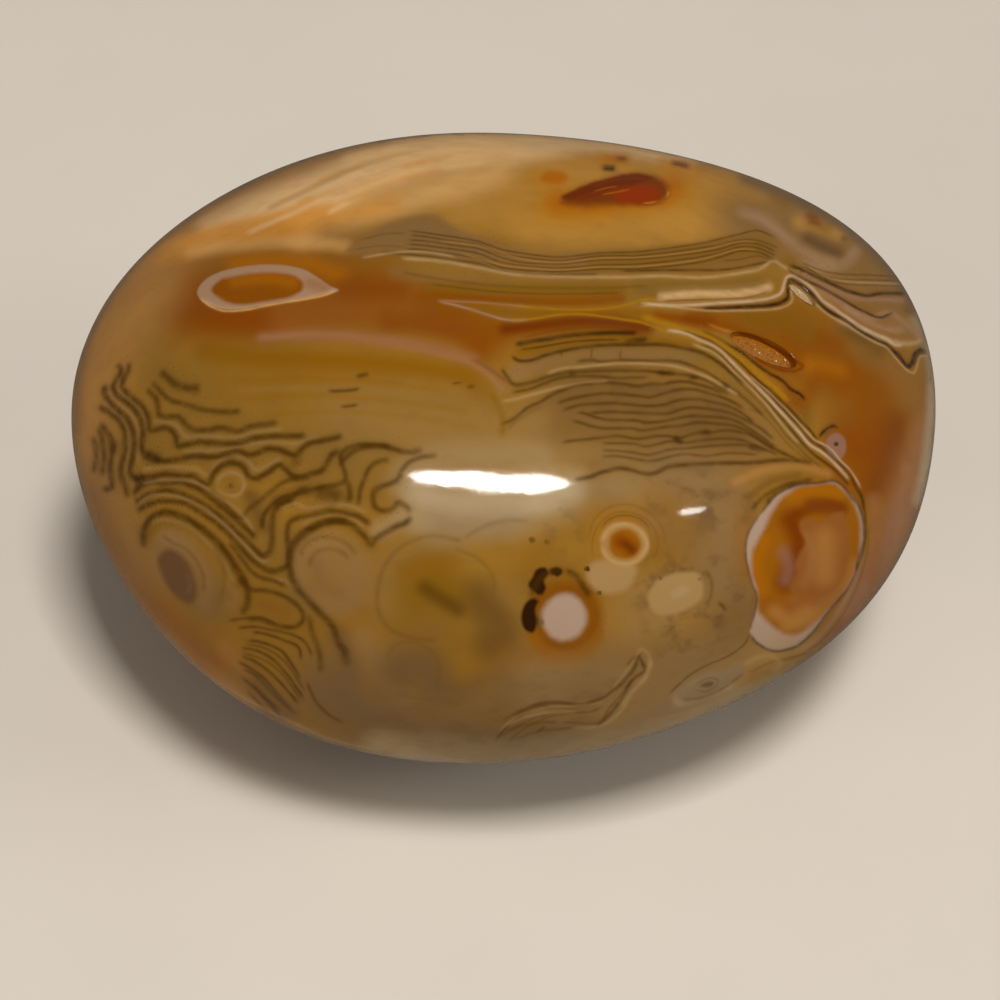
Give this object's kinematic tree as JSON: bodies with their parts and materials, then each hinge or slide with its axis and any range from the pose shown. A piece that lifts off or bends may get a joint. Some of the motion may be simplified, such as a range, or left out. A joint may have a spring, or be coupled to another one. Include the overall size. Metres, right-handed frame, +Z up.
{
  "type": "silk lace agate palm stone",
  "caption": "Polished oval agate pebble that fills the palm, with fine lace-like banding and small crystal-lined hollows near one end.",
  "frame": {"origin": "on the surface that the stone rests on, under the middle of its outline seen from above", "axes": "+Z up, +X along the stone's length towards its blunter end, where the hollows are"},
  "size_m": [0.062, 0.0516, 0.0385],
  "materials": {
    "polished_agate": "high polish, banded in honey, burnt orange, cream, grey and smoke brown",
    "quartz_crystals": "small bright quartz points, unpolished"
  },
  "bodies": {
    "root": {"stone": "polished_agate", "crystal_pocket_crust": "quartz_crystals", "quartz_pit_crust": "quartz_crystals"}
  },
  "joints": []
}
